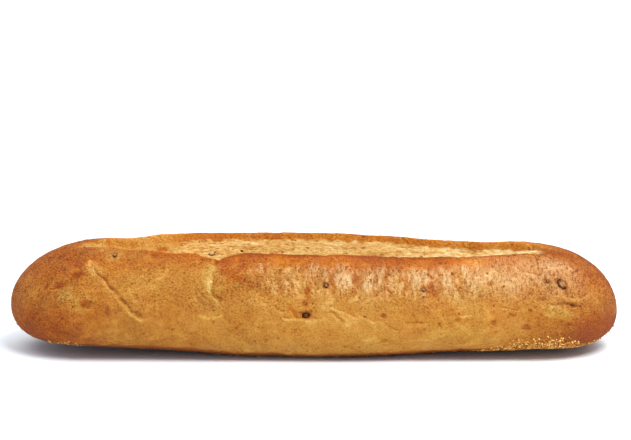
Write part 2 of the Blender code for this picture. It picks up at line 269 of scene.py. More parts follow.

# What each region and each relief field of the crust adds to its looks, and noise as (amount, mm, seed).
# Browning is 0 where the crust is pale gold and 1 where it is dark brown; a few entries paint shade or
# highlight into it, as marked below.
BROWNING = {
    "everywhere": 0.67,
    "left_part": 0.015,
    "right_end": 0.05,
    "middle": -0.09,
    "upper_flank": 0.10,
    "lower_flank": 0.04,
    "right_flank": 0.025,
    "right_top": -0.15,
    # Painted sheen: the crust is made paler in the band on the right where the highlight falls
    "right_painted_sheen": -0.09,
    "brown_foot": 0.06,
    "low_left": 0.12,
    "low_right": 0.24,
    "ragged_underside": 0.3,
    "near_lip": 0.12,
    "far_lip": -0.15,
    "right_shoulder": -0.2,
    "closed_cut": -0.36,
    # Painted highlight: a thin pale line along the near lip's edge on the left
    "painted_lip_highlight": -0.6,
    "lip_edge": 0.22,
    "broken_stretch": 0.08,
    # Partly painted highlight: paler bands on the ridges between the stretch grooves
    "pale_highlight_bands": -0.4,
    "strokes": -0.18,
    # Painted highlight on the folds' rims, and in their grooves darker crust that is partly scorching and
    # partly painted shade
    "rims": -0.6,
    "grooves": 0.7,
    # Painted shade: the dark ring round each kernel, in its dent
    "rings": 0.7,
    "browner": 1.0,
    # Painted shade: lower crust, in hollows and pores, is darker and raised crust paler
    "baked": -0.5,
    "scuffed": -0.2,
    "blots": 0.18,
}
BROWNING_NOISE = ((0.04, 16, 52), (0.04, 6, 53), (0.05, 2.4, 54))
# Warmth is 0 where the crust is yellow and 1 where it is orange.
WARMTH = {
    "everywhere": 0.32,
    "left_end": 0.6,
    "right_end": 0.46,
    "warm_top": 0.45,
    "yellow_foot": -0.25,
    "low_left": 0.25,
    "low_right": 0.25,
    "underside": 0.5,
    "near_lip": 0.8,
    "far_lip": 0.6,
    "closed_cut": -0.6,
    "stretch": 0.5,
    "warmer": 1.0,
}
WARMTH_NOISE = ((0.16, 14, 58), (0.10, 5, 59))
# Coarseness is how rough and speckled the crust is.
COARSENESS = {
    "everywhere": 0.7,
    "left_end": 0.4,
    "right_end": 0.35,
    "mid_flank": 0.45,
    "stretched_part": 0.3,
    "right_smooth": -0.2,
    "left_front": -0.1,
    "near_lip": -0.4,
    "far_lip": -0.3,
}
COARSENESS_NOISE = ((0.12, 8, 62),)

# Colour stops, as (place, sRGB 0-255)
GOLDEN_STOPS = (
    (0.0, (230, 188, 116)),
    (0.25, (206, 158, 78)),
    (0.5, (189, 136, 53)),
    (0.75, (172, 111, 33)),
    (1.0, (138, 76, 14)),
)
ORANGE_STOPS = (
    (0.0, (224, 160, 76)),
    (0.25, (206, 133, 42)),
    (0.5, (190, 109, 16)),
    (0.75, (170, 83, 2)),
    (1.0, (134, 58, 2)),
)
# Painted sheen: a pale colour mixed into the crust where it shines, mostly standing in for the softbox's
# reflection, with some paler stretched skin
PAINTED_SHEEN = 0.62
PAINTED_SHEEN_STOPS = (
    (0.0, (240, 206, 158)),
    (0.5, (208, 158, 104)),
    (0.75, (180, 112, 48)),
    (1.0, (134, 68, 16)),
)
CRUMB_STOPS = (
    (0.0, (150, 84, 28)),
    (0.3, (196, 135, 60)),
    (0.55, (214, 162, 86)),
    (0.8, (227, 184, 112)),
    (1.0, (240, 209, 150)),
)
KERNEL_STOPS = (
    (0.0, (214, 172, 118)),
    (0.35, (172, 128, 86)),
    (0.65, (104, 62, 28)),
    (1.0, (30, 12, 3)),
)
SEMOLINA_STOPS = (
    (0.0, (130, 66, 14)),
    (0.45, (170, 100, 26)),
    (0.75, (230, 158, 60)),
    (1.0, (255, 226, 150)),
)
BRAN_STOPS = (
    (0.0, (120, 66, 24)),
    (0.5, (156, 92, 36)),
    (1.0, (200, 136, 66)),
)

# Finish of the crust, where it is dull and where it shines
CRUST_ROUGH = 0.98
SHEEN_ROUGH = 0.34
CRUST_SPECULAR = 0.36
CRUST_BUMP = 0.75 * MM
# How much each texture adds to the browning, to the height of the bumps and to the tone of the crumb
# Pits are darkened as painted shade as well as sunk by the bumps
SPECKLE = {"grain": 0.7, "strokes": -0.9, "ridges": -0.2, "bran": 0.4, "pits": 0.26, "flecks": -0.3}
SPECKLE_BASE = 0.15
BUMPS = {
    "grain": 1.0,
    "fine_grain": 0.5,
    "pebbles": -0.5,
    "strokes": 1.6,
    "ridges": 0.08,
    "bran": -0.5,
    "pits": -0.7,
}
# The crumb's relief height sets part of its tone: painted shade in its pores and tears, paler on its strands
CRUMB_TONE = {"crumb_grain": 1.9, "torn": 0.5, "bran": -0.8}
CRUMB_TONE_BASE = -0.42

# Floor
FLOOR_SIZE = 60
FLOOR_COLOUR = (0.9, 0.93, 0.97, 1)

# Camera
EYE = Vector((0.0007, -0.7884, 0.2166))
PITCH = 11.27
LENS = 100
SENSOR = 36

# Light: a wide overhead light a little behind the roll, and a softbox in front of it on the right
WORLD_STRENGTH = 0.57
WORLD_COLOUR = (0.87, 1.0, 1.14, 1)
OVERHEAD_FROM = (0.05, 0.12, 0.98)
OVERHEAD_STRENGTH = 1.93
OVERHEAD_COLOUR = (1.0, 0.945, 0.875)
OVERHEAD_SPREAD = 92
SOFTBOX_PLACE = Vector((0.36, -0.48, 0.95))
SOFTBOX_SIZE = 0.5
SOFTBOX_POWER = 10


def ease(t):
    """0 below 0, 1 above 1 and smooth between."""
    t = np.clip(t, 0, 1)
    return t * t * (3 - 2 * t)


def mound(x, centre, reach):
    """A smooth bump of height 1, with one reach or one for each side."""
    left, right = reach if isinstance(reach, tuple) else (reach, reach)
    return np.exp(-(((x - centre) / np.where(x < centre, left, right)) ** 2))


def rise(value, start, reach):
    """0 up to the start, 1 from a reach beyond it and smooth between."""
    return ease((value - start) / reach)


def fall(value, end, reach):
    """1 up to a reach before the end, 0 from the end on and smooth between."""
    return ease((end - value) / reach)


def band(value, middle, reach):
    """A smooth bump of height 1 round the middle."""
    return np.exp(-(((value - middle) / reach) ** 2))


def through(x, points):
    """A smooth rise or fall from each (x in mm, value) point to the next."""
    value = points[0][1]
    for (start, before), (end, after) in zip(points, points[1:]):
        value = value + (after - before) * rise(x / MM, start, end - start)
    return value


def hashed(cells, seed):
    """A fixed random value from 0 to 1 for each whole-numbered cell."""
    mixed = (cells.astype(np.int64) * (73856093, 19349663, 83492791)).sum(-1) + seed * 40503
    mixed = ((mixed ^ (mixed >> 13)) * 1274126177) & 0xFFFFFFFF
    mixed = ((mixed ^ (mixed >> 16)) * 2246822519) & 0xFFFFFFFF
    return ((mixed ^ (mixed >> 13)) & 0xFFFFFF) / 0xFFFFFF


def noise(points, size, seed):
    """Smooth noise from -1 to 1 with lumps of about this size in mm, or of one size along each axis."""
    scaled = points / (np.array(size) * MM)
    cell = np.floor(scaled)
    share = scaled - cell
    share = share**3 * (share * (6 * share - 15) + 10)
    total = 0
    for corner in np.ndindex(2, 2, 2):
        weight = np.where(corner, share, 1 - share).prod(-1)
        total = total + weight * hashed(cell + corner, seed)
    return 2 * total - 1


def layers(points, *kinds):
    """Noise of several sizes, each given as (amount, size in mm, seed)."""
    return sum(amount * noise(points, size, seed) for amount, size, seed in kinds)


def spots(points, size, chance, radius, seed):
    """0 outside and 1 at the middle of round spots, at most one in each cell of this size in mm."""
    scaled = points / (size * MM)
    cell = np.floor(scaled)
    best = np.zeros(len(points))
    for shift in np.ndindex(3, 3, 3):
        home = cell + shift - 1
        centre = home + np.stack([hashed(home, seed + k) for k in range(3)], -1)
        wide = radius / size * (0.6 + 0.8 * hashed(home, seed + 3))
        there = hashed(home, seed + 4) < chance
        away = np.linalg.norm(scaled - centre, axis=-1) / wide
        best = np.maximum(best, there * np.clip(1 - away**2, 0, 1))
    return best


def closing(x, reach):
    """Share of the full outline at x: a quarter ellipse closes it at each tip."""
    share = 1.0
    for gap, length in ((x + LENGTH / 2, reach[0]), (LENGTH / 2 - x, reach[1])):
        share = share * np.sqrt(1 - (1 - np.clip(gap / length, 0, 1)) ** 2)
    return share


def crest(x):
    """Height of the plain roll's top."""
    return HEIGHT + sum(size * mound(x, place, reach) for place, reach, size in CREST_SWELLS)


def waist(x):
    """Height at which the roll is widest."""
    return WAIST - WAIST_TILT * x / (LENGTH / 2)


def form(x, angle):
    """Points of the plain roll at x and an angle from the front waist over the top, in radians."""
    half = WIDTH / 2 * (1 - TAPER * (2 * x / LENGTH) ** 2) * closing(x, PLAN_REACH)
    over = (crest(x) - waist(x)) * closing(x, TOP_REACH)
    lift = END_LIFT[0] * ease(-x / LIFT_REACH[0]) + END_LIFT[1] * ease(x / LIFT_REACH[1])
    under = (waist(x) + SINK - lift) * closing(x, UNDER_REACH)
    across, up = np.cos(angle), np.sin(angle)
    square = 2 / UNDER_POWER
    y = np.where(up >= 0, across, np.sign(across) * np.abs(across) ** square)
    z = np.where(up >= 0, over * up, -under * np.abs(up) ** square)
    return np.stack([x + 0 * y, -half * y, waist(x) + z], axis=-1)


def outward(x, angle):
    """Unit normals of the plain roll."""
    step, turn = 0.2 * MM, 0.01
    limit = LENGTH / 2 - step
    x = np.clip(x, -limit, limit)
    along = form(x + step / 2, angle) - form(x - step / 2, angle)
    around = form(x, angle + turn) - form(x, angle - turn)
    normal = np.cross(along, around)
    return normal / np.linalg.norm(normal, axis=-1, keepdims=True)


def cut_strength(x):
    """1 along the cut, fading to 0 at its ends."""
    return rise(x, CUT_ENDS[0], CUT_FADE) * fall(x, CUT_ENDS[1], CUT_FADE)


def wavering(x, kinds):
    """Noise along the roll, as an angle."""
    return layers(np.stack([x, 0 * x, 0 * x], -1), *kinds) * MM / GIRTH_RADIUS


def near_lip(x):
    """Angle of the near lip, which sags to the notch and wavers a little."""
    degrees = through(x, NEAR_LIP) - NOTCH_DROP * mound(x, NOTCH_X, NOTCH_REACH)
    return np.radians(degrees) + wavering(x, NEAR_WAVER)


def far_lip(x):
    """Angle of the far lip, which wavers too."""
    return np.radians(through(x, FAR_LIP)) + wavering(x, FAR_WAVER)


def cut_zones(x, angle):
    """Distance behind the near lip, the cut's width, and how far the place is past each lip, from 0 to 1."""
    behind = (angle - near_lip(x)) * GIRTH_RADIUS
    gape = (far_lip(x) - near_lip(x)) * GIRTH_RADIUS
    return behind, gape, ease(behind / NEAR_EDGE), ease((behind - gape) / FAR_EDGE + 1)


def cut_relief(x, zones):
    """Height of the crust and of the torn hollow round the cut."""
    behind, gape, past_near, past_far = zones
    low, high = NEAR_LIP_RISE
    near_height = low + (high - low) * rise(x, NOTCH_X, NEAR_LIP_GROWS)
    near = near_height * np.exp(np.minimum(behind, 0) / NEAR_LIP_REACH)
    hollow = -HOLLOW_DEPTH + (HOLLOW_DEPTH - HOLLOW_RIM) * np.clip(behind / gape, 0, 1) ** HOLLOW_BOW
    far = FAR_LIP_RISE * np.exp(-np.maximum(behind - gape, 0) / FAR_LIP_REACH)
    height = near * (1 - past_near) + hollow * past_near * (1 - past_far) + far * past_far
    return height * cut_strength(x)


def line_distance(x, girth, points):
    """Signed distance to a line of points, positive on its left."""
    nearest = np.full(np.shape(x), np.inf)
    side = np.ones(np.shape(x))
    for (ax, ag), (bx, bg) in zip(points, points[1:]):
        dx, dg = bx - ax, bg - ag
        share = np.clip(((x - ax) * dx + (girth - ag) * dg) / (dx * dx + dg * dg), 0, 1)
        away = np.hypot(x - ax - share * dx, girth - ag - share * dg)
        left = np.sign(dx * (girth - ag) - dg * (x - ax))
        side = np.where(away < nearest, left, side)
        nearest = np.minimum(nearest, away)
    return nearest * side


def unrolled(x, girth):
    """Points of the crust spread out flat, for the noise on it."""
    return np.stack([x, girth, 0 * x], -1) * MM


def turned_to(x, girth, centre_x, centre_girth, turn):
    """Distances from a centre, along and across a direction turned by this many degrees."""
    turn = math.radians(turn)
    dx, dg = x - centre_x, girth - centre_girth
    return dx * math.cos(turn) + dg * math.sin(turn), dg * math.cos(turn) - dx * math.sin(turn)


def stretch_window(girth):
    """1 on the upper flank, where the crust has stretched."""
    return rise(girth, STRETCH_GIRTH[0], STRETCH_FADE[0]) * fall(girth, STRETCH_GIRTH[1], STRETCH_FADE[1])


def fold_relief(x, girth):
    """Height of the folds and the stretch grooves, and how much rim, groove and stretch there is, in mm."""
    rims = np.zeros(np.shape(x))
    grooves = np.zeros(np.shape(x))
    flat = unrolled(x, girth)
    warped_x = x + FOLD_WARP * layers(flat, (1, 4.5, 81), (0.4, 1.6, 82))
    warped_girth = girth + FOLD_WARP * layers(flat, (1, 4.5, 83), (0.4, 1.6, 84))
    strength = 0.9 + 0.6 * noise(flat, 3.2, 85)
    for points, width, depth, rim in FOLDS + WRINKLES:
        away = line_distance(warped_x, warped_girth, points)
        rims += strength * rim * band(away, -width, width)
        grooves += strength * depth * band(away, 0, width / FOLD_NARROWING)
    stretched = sum(band(warped_x, line, STRETCH_WIDTH) for line in STRETCH_X) * stretch_window(girth)
    return rims - grooves - STRETCH_DEPTH * stretched, rims, grooves, stretched


def patch_fields(x, girth):
    """Height, browning and warmth that the patches add."""
    total = np.zeros((3, *np.shape(x)))
    ragged = layers(unrolled(x, girth), (0.3, 1.6, 86), (0.35, 4, 87))
    for centre_x, centre_girth, half_length, half_width, turn, *values in PATCHES:
        along, across = turned_to(x, girth, centre_x, centre_girth, turn)
        share = ease(1.5 - np.hypot(along / half_length, across / half_width) + ragged)
        total += share * np.array(values).reshape(3, *[1] * np.ndim(x))
    return total


def unevenness(x, angle):
    """Slow lumps of the dough, in metres."""
    long = np.sin(x / LONG_LUMP + 1.3) * np.cos(angle * 2 + 0.6)
    short = 0.7 * np.sin(x / SHORT_LUMP + 2.1 * np.sin(angle + 0.4))
    return LUMP_HEIGHT * (long + short)


def kernel_dents(x, girth):
    """Depth of the dents that hold the kernels, and the dark ring round them, which is painted shade in the
    dent.
    """
    dents = np.zeros(np.shape(x))
    rings = np.zeros(np.shape(x))
    for centre_x, centre_girth, length, width, turn, dark, depth in KERNELS:
        along, across = turned_to(x, girth, centre_x, centre_girth, turn)
        away = np.hypot(along / length * 2, across / width * 2)
        dents += depth * (np.exp(-((away / 1.15) ** 4)) - 0.3 * band(away, 1.5, 0.3))
        rings += (0.4 + 0.6 * dark) * band(away, 1, 2 * RING_WIDTH / width)
    return dents, rings


def crumb_relief(points):
    """Height of the torn crumb in mm: strands and smears along the roll, with pores between them."""
    tears = TEAR_DEPTH * np.clip(1 - 4 * np.abs(noise(points, (6, 2.0, 2.0), 23)), 0, 1)
    pores = CRUMB_PORE_DEPTH * spots(points, 2.0, 0.5, 0.6, 24)
    return CRUMB_SWELL + layers(points, *CRUMB_STRANDS) - tears - pores


def striations(x, girth):
    """Fine strokes of the stretched crust, which run up the flank and bend a little, from -1 to 1."""
    bent = x + STROKE_BEND * noise(unrolled(x, girth), 7, 37)
    strokes = np.clip(1.7 * noise(unrolled(bent, girth / 3), 1.15, 38), -1, 1)
    return strokes * rise(girth, 9, 6) * fall(girth, 33, 6) * rise(x, -36, 14) * fall(x, 84, 22)


def scuffs(points):
    """Short fine ridges where the dough's skin crept, from 0 to 1."""
    slanted = points @ np.array(SCUFF_SLANT)
    ridge = np.clip(1 - 3.2 * np.abs(noise(slanted, (7, 2.2, 2.2), 35)), 0, 1)
    return ridge * ease((noise(points, 6, 36) + 0.15) / 0.5)


def crust_relief(points):
    """Height of the crust's own texture in mm: soft undulation, blisters and pores."""
    blisters = BLISTER_HEIGHT * spots(points, 2.7, 0.5, 0.8, 34)
    pores = PORE_DEPTH * spots(points, 3.0, 0.4, 0.6, 44)
    return layers(points, *CRUST_SOFT) + blisters - pores


def crumb_share(x, zones, points):
    """1 where the crumb shows in the cut, with ragged borders."""
    behind, gape, past_near, past_far = zones
    inward = behind / gape
    ragged = layers(points, *CRUMB_RAGGED)
    start = CRUMB_SHOWS[0] + CRUMB_SLANT * np.clip(inward, 0, 1) + CRUMB_FRAY * ragged
    wide, narrow = CRUMB_WIDTH
    width = wide - (wide - narrow) * rise(x, *CRUMB_NARROWS)
    shows = rise(x, start, CRUMB_FADES[0]) * fall(x, CRUMB_SHOWS[1], CRUMB_FADES[1])
    shows = shows * fall(inward, width + 0.1 * ragged, 0.12)
    before_far = 1 - ease((past_far - CRUMB_EDGE - 0.14 * ragged) / 0.06 + 0.5)
    return ease(2 * past_near) * before_far * shows


def skin(x, angle):
    """Points of the crust, and the fields that colour it."""
    x, angle = np.broadcast_arrays(x, angle)
    girth = angle * GIRTH_RADIUS / MM
    plain = form(x, angle)
    zones = cut_zones(x, angle)
    crumb = crumb_share(x, zones, plain)
    folds, rims, grooves, stretched = fold_relief(x / MM, girth)
    dents, rings = kernel_dents(x / MM, girth)
    raised, browner, warmer = patch_fields(x / MM, girth)
    torn = crumb_relief(plain)
    stained = 3 * browner + 0.5 * noise(plain, (9, 4, 4), 73)
    stained += 0.25 * ease(-x / (60 * MM)) - 0.35 * ease(x / (90 * MM))
    baked = crust_relief(plain)
    scuffed = scuffs(plain)
    strokes = striations(x / MM, girth)
    texture = (baked + SCUFF_HEIGHT * scuffed + STROKE_HEIGHT * strokes) * (1 - crumb) + torn * crumb
    height = cut_relief(x, zones) + unevenness(x, angle) + (folds + raised - dents + texture) * MM
    points = plain + outward(x, angle) * (height * closing(x, PLAN_REACH))[..., None]
    z = points[..., 2]
    points[..., 2] = np.where(z > SETTLE, z, np.maximum(z + SETTLE, 0) ** 2 / (4 * SETTLE))
    fields = {
        "behind": zones[0],
        "gape": zones[1],
        "crumb": crumb,
        # Crumb height, which paints shade into its pores, less its real stains
        "torn": torn - stained,
        "baked": baked,
        "scuffed": scuffed,
        "strokes": strokes,
        "rims": rims,
        "grooves": grooves,
        "stretched": stretched,
        "rings": rings,
        "browner": browner,
        "warmer": warmer,
    }
    return points, fields


def level_of(girth):
    """Girth at the front, and the same measured from the back waist at the back, in mm."""
    return np.minimum(girth, math.pi * GIRTH_RADIUS / MM - girth)


def pale_highlight_bands(x, girth):
    """Paler bands beside the stretch grooves: paler stretched skin and a painted highlight on the ridges."""
    return sum(pale * band(x, place, wide) for place, wide, pale in PALE_HIGHLIGHT_BANDS) * stretch_window(girth)


def cut_regions(x, fields, points):
    """Shares of the regions in and beside the cut."""
    behind, gape = fields["behind"], fields["gape"]
    along = x / MM
    cut = cut_strength(x)
    right_of_notch = rise(x, NOTCH_X, 8 * MM)
    reach = (3 + 2 * right_of_notch + layers(points, (1.4, 6, 55), (0.7, 2, 56))) * MM
    near = ease(1.6 + behind / reach) * (behind < 0.6 * NEAR_EDGE)
    near = near * (0.25 + 0.75 * right_of_notch) * (1 - 0.7 * rise(along, 62, 20))
    shoulder = band(behind, gape + 2 * MM, 7 * MM) * (behind > gape - FAR_EDGE)
    closed = (behind > 0) * (behind < gape + 2 * MM) * fall(along, -52, 16) * (1 - fields["crumb"])
    lip_line = band(behind, 0.4 * MM, 0.5 * MM) * (1 - rise(along, -62, 8))
    return {
        "near_lip": near * cut,
        "far_lip": shoulder * cut,
        "right_shoulder": shoulder * rise(along, 40, 22) * fall(along, 116, 12),
        "closed_cut": closed * cut,
        # Painted highlight along the near lip's edge
        "painted_lip_highlight": lip_line * rise(along, -112, 10),
        "lip_edge": band(behind, -0.2 * MM, 1.1 * MM) * rise(x, NOTCH_X, 6 * MM) * cut,
    }


def regions(x, girth, fields, points):
    """Shares of all regions of the crust, most of them from 0 to 1, and its relief fields."""
    level = level_of(girth)
    along = x / MM
    left, right = fall(along, -84, 40), rise(along, 92, 34)
    cut = cut_regions(x, fields, points)
    off_lip = 1 - cut["near_lip"]
    stretched = fields["stretched"] * (1 - 0.8 * rise(along, 58, 5))
    low, high = fall(level, 8, 16), rise(girth, 24, 6) * (fields["behind"] < 0)
    return fields | cut | {
        "everywhere": 1,
        "left_end": left,
        "right_end": right,
        "left_part": fall(along, -45, 15),
        "left_front": fall(along, -45, 15) * rise(along, -112, 16) * fall(girth, 34, 6),
        "middle": rise(along, -60, 50) * fall(along, 104, 40) * (level > -40),
        "lower_flank": fall(level, 16, 16),
        "mid_flank": rise(girth, 1, 9),
        "upper_flank": rise(level, 20, 16),
        "warm_top": rise(level, 18, 14),
        "stretched_part": rise(girth, 10, 8) * rise(along, -48, 20),
        "yellow_foot": fall(level, 10, 12) * (1 - left) * (1 - right),
        "brown_foot": fall(level, 12, 10) * (rise(along, 84, 24) + fall(along, -36, 20)),
        "low_left": low * left,
        "low_right": low * right,
        "right_flank": rise(along, 46, 16) * rise(level, 10, 8),
        "right_top": rise(along, 58, 16) * high * (1 - right),
        # Painted sheen band on the right, where the crust is painted paler
        "right_painted_sheen": rise(along, 40, 30) * band(girth, 26, 9),
        "right_smooth": rise(along, 40, 30) * band(girth, 26, 8),
        "underside": fall(level, -20, 5),
        "ragged_underside": fall(level - 1.5 * noise(points, 5, 57), -20, 5),
        "strokes": fields["strokes"] * off_lip,
        "stretch": stretched,
        "broken_stretch": stretched * (0.7 + 0.6 * noise(points, 5, 51)) * off_lip,
        "pale_highlight_bands": pale_highlight_bands(along, girth),
        "blots": spots(points, 3.8, 0.3, 0.8, 61),
    }


def weighed(weights, shares):
    """Sum of the weighted shares."""
    return sum(weight * shares[name] for name, weight in weights.items())


def gloss(x, girth, shares, points):
    """Where the crust shines: the stretched flank, most of all on the right. It sets the roughness and also how
    much painted sheen the colour gets.
    """
    along = x / MM
    level = level_of(girth) + 3 * noise(points, 9, 63)
    flank = rise(level, 6, 18) * fall(level, 42, 12) * rise(along, -52, 80) * fall(along, 132, 22)
    flank = flank * np.where(girth > 50, 0.5, 1) * (1 - 0.07 * rise(along, 46, 16))
    off_lips = (1 - 0.9 * shares["near_lip"]) * (1 - shares["far_lip"])
    flank = flank * off_lips * (1 - 0.4 * np.clip(shares["stretched"], 0, 1))
    return 0.1 + 0.9 * flank + 0.15 * noise(points, 7, 60) + 0.2 * shares["strokes"]


def looks(x, angle, points, fields):
    """Fields for the crust's material, by name."""
    girth = angle * GIRTH_RADIUS / MM
    shares = regions(x, girth, fields, points)
    browning = weighed(BROWNING, shares) + layers(points, *BROWNING_NOISE)
    warmth = weighed(WARMTH, shares) + layers(points, *WARMTH_NOISE)
    coarseness = weighed(COARSENESS, shares) + layers(points, *COARSENESS_NOISE)
    return {
        "crumb": fields["crumb"],
        "torn": fields["torn"],
        "browning": np.clip(browning, 0, 1),
        "warmth": np.clip(warmth, 0, 1),
        "gloss": np.clip(gloss(x, girth, shares, points), 0, 1),
        "coarseness": np.clip(coarseness, 0.3, 1.5),
    }


def stations(count):
    """Places along the roll, evenly spaced along its outline seen from above, without the tips."""
    fine = LENGTH / 2 * np.sin(np.linspace(-math.pi / 2, math.pi / 2, 4001))
    half = WIDTH / 2 * closing(fine, PLAN_REACH)
    run = np.concatenate([[0], np.cumsum(np.hypot(np.diff(fine), np.diff(half)))])
    return np.interp(np.linspace(0, run[-1], count + 2)[1:-1], run, fine)


def ring_angles(x):
    """Angles of the rings at all x, closely spaced where the crust shows most and along both lips."""
    near, far = near_lip(x), far_lip(x)
    past_near, before_far = near + NEAR_EDGE / GIRTH_RADIUS, far - FAR_EDGE / GIRTH_RADIUS
    down, front, back, down_again = (np.full(len(x), math.radians(stop)) for stop in RING_STOPS)
    stops = [down, front, near, past_near, before_far, far, back, down_again]
    parts = [a + (b - a) * np.arange(n)[:, None] / n for a, b, n in zip(stops, stops[1:], RING_COUNTS)]
    return np.concatenate(parts).T


def add_mesh(name, points, faces):
    """A smooth piece from points and faces."""
    mesh = bpy.data.meshes.new(name)
    mesh.from_pydata(points, [], faces)
    mesh.validate()
    mesh.shade_smooth()
    made = bpy.data.objects.new(name, mesh)
    bpy.context.scene.collection.objects.link(made)
    return made


def add_field(piece, name, values):
    """Stores a value for each point of a piece, for its material."""
    attribute = piece.data.attributes.new(name, "FLOAT", "POINT")
    attribute.data.foreach_set("value", np.ascontiguousarray(values, np.float32))


def make_crust():
    """The roll's surface as one closed mesh, with its colour fields."""
    places = stations(STATIONS)
    angles = ring_angles(places)
    rings, around = angles.shape
    x = np.repeat(places, around)
    angle = angles.reshape(-1)
    points, fields = skin(x, angle)
    tips = [(-LENGTH / 2, 0, waist(-LENGTH / 2)), (LENGTH / 2, 0, waist(LENGTH / 2))]
    index = np.arange(rings * around).reshape(rings, around)
    before, after = index[:-1], index[1:]
    quads = np.stack([before, np.roll(before, -1, 1), np.roll(after, -1, 1), after], -1).reshape(-1, 4)
    left, right = rings * around, rings * around + 1
    fans = [(left, index[0, k], index[0, k - 1]) for k in range(around)]
    fans += [(right, index[-1, k - 1], index[-1, k]) for k in range(around)]
    faces = quads.tolist() + fans
    piece = add_mesh("crust", np.concatenate([points, tips]), [face[::-1] for face in faces])
    for name, values in looks(x, angle, points, fields).items():
        add_field(piece, name, np.concatenate([values, values[[0, -1]]]))
    return piece


def stand_on_crust(x, girth, turn, sunk):
    """A matrix that stands on the crust there: Z outwards, X along the roll turned by this angle."""
    x, angle = np.array([x * MM]), np.array([girth * MM / GIRTH_RADIUS])
    point = Vector(skin(x, angle)[0][0])
    out = Vector(outward(x, angle)[0])
    along = Vector((1, 0, 0))
    along = (along - along.project(out)).normalized()
    turned = Matrix((along, out.cross(along), out)).transposed().to_4x4()
    return Matrix.Translation(point - out * sunk) @ turned @ Matrix.Rotation(turn, 4, "Z")


def make_kernels():
    """Whole kernels: plump, pointed a little at one end, with a crease along them, and painted shade darkening
    their rim and crease.
    """
    mesh = bmesh.new()
    toast = mesh.verts.layers.float.new("toast")
    for x, girth, length, width, turn, dark, depth in KERNELS:
        made = bmesh.ops.create_uvsphere(mesh, u_segments=24, v_segments=16, radius=0.5)["verts"]
        for vert in made:
            vert.co = vert.co.zxy
            vert.co.y *= 1 - KERNEL_TAPER * vert.co.x
            crease = math.exp(-((vert.co.y / CREASE_WIDTH) ** 2)) * (vert.co.z > 0)
            rim = min(1, (math.hypot(vert.co.x, vert.co.y) / 0.42) ** 3)
            vert.co.z -= CREASE_DEPTH * crease
            vert.co *= 1 + 0.04 * math.sin(14 * vert.co.x + 9 * vert.co.y) * math.cos(11 * vert.co.z + x)
            # Painted shade: the rim and the crease are darkened
            vert[toast] = dark + 0.3 * crease + 0.55 * rim - 0.1
        thick = width * KERNEL_PLUMP * MM
        bmesh.ops.scale(mesh, vec=(length * MM, width * MM, thick), verts=made)
        sunk = thick * (0.5 - KERNEL_SHOWS) - depth * 0.6 * MM
        where = stand_on_crust(x, girth, math.radians(turn), sunk)
        bmesh.ops.transform(mesh, matrix=where, verts=made)
    data = bpy.data.meshes.new("kernels")
    mesh.to_mesh(data)
    mesh.free()
    data.shade_smooth()
    piece = bpy.data.objects.new("kernels", data)
    bpy.context.scene.collection.objects.link(piece)
    return piece


def make_grit(name, x, angle, sizes, flat, sunk, draw):
    """Many small irregular grains on the crust, as one mesh of closed bodies."""
    seed = bmesh.new()
    bmesh.ops.create_icosphere(seed, subdivisions=1, radius=0.5)
    corners = np.array([vert.co for vert in seed.verts])
    faces = np.array([[vert.index for vert in face.verts] for face in seed.faces])
    seed.free()
    points = skin(x, angle)[0]
    out = outward(x, angle)
    side = np.cross(out, draw.normal(size=out.shape))
    side /= np.linalg.norm(side, axis=-1, keepdims=True)
    turned = np.stack([side, np.cross(out, side), out], axis=1)
    count = len(x)
    shapes = corners * (1 + GRAIN_UNEVEN * draw.uniform(-1, 1, (count, len(corners), 1)))
    long = draw.uniform(0.85, 1.3, count)
    wide = draw.uniform(0.7, 1.0, count)
    stretch = np.stack([long, wide, np.full(count, flat)], -1)
    shapes = shapes * stretch[:, None] * sizes[:, None, None]
    shapes = shapes @ turned + (points - out * (sizes * sunk)[:, None])[:, None]
    lowest = shapes[..., 2].min(1)
    shapes[..., 2] += np.maximum(0.02 * MM - lowest, 0)[:, None]
    every = (faces[None] + len(corners) * np.arange(count)[:, None, None]).reshape(-1, 3)
    piece = add_mesh(name, shapes.reshape(-1, 3), every.tolist())
    add_field(piece, "tone", np.repeat(draw.uniform(0, 1, count), len(corners)))
    return piece


def make_semolina():
    """Coarse semolina along the underside's edge, thickest and highest on the right."""
    draw = np.random.default_rng(SEED)
    anywhere = LENGTH / 2 * 0.985 * draw.uniform(-1, 1, SEMOLINA_ANYWHERE)
    x = np.concatenate([anywhere, draw.uniform(*SEMOLINA_RIGHT_X, SEMOLINA_RIGHT) * MM])
    angle = np.radians(draw.uniform(-90, -4, len(x)))
    angle = np.where(draw.uniform(size=len(x)) < 0.5, math.pi - angle, angle)
    underneath = np.sin(angle) < -0.85
    right = rise(x, 70 * MM, 26 * MM) * np.maximum(fall(x, 132 * MM, 6 * MM), underneath)
    shares = {
        "everywhere": 1,
        "right": right,
        "right_foot": right * (1 - 0.8 * rise(x, 112 * MM, 12 * MM)),
        "near_right": rise(x, 34 * MM, 12 * MM),
        "left_tip": fall(x, -102 * MM, 6 * MM) * rise(x, -124 * MM, 6 * MM),
        "left_half": x < -40 * MM,
    }
    top = weighed(SEMOLINA_HEIGHT, shares) * MM
    dense = weighed(SEMOLINA_DENSITY, shares)
    height = skin(x, angle)[0][:, 2]
    above = height - np.maximum(form(x, np.full(len(x), -math.pi / 2))[:, 2], 0)
    low = above < top * draw.uniform(0.5, 1.1, len(x))
    kept = (draw.uniform(size=len(x)) < dense) & low & (height > 0.4 * MM)
    x, angle = x[kept], angle[kept]
    small, large = SEMOLINA_SIZES
    sizes = (small + (large - small) * draw.uniform(0, 1, len(x)) ** 1.4) * MM
    return make_grit("semolina", x, angle, sizes, 0.9, -0.1, draw)


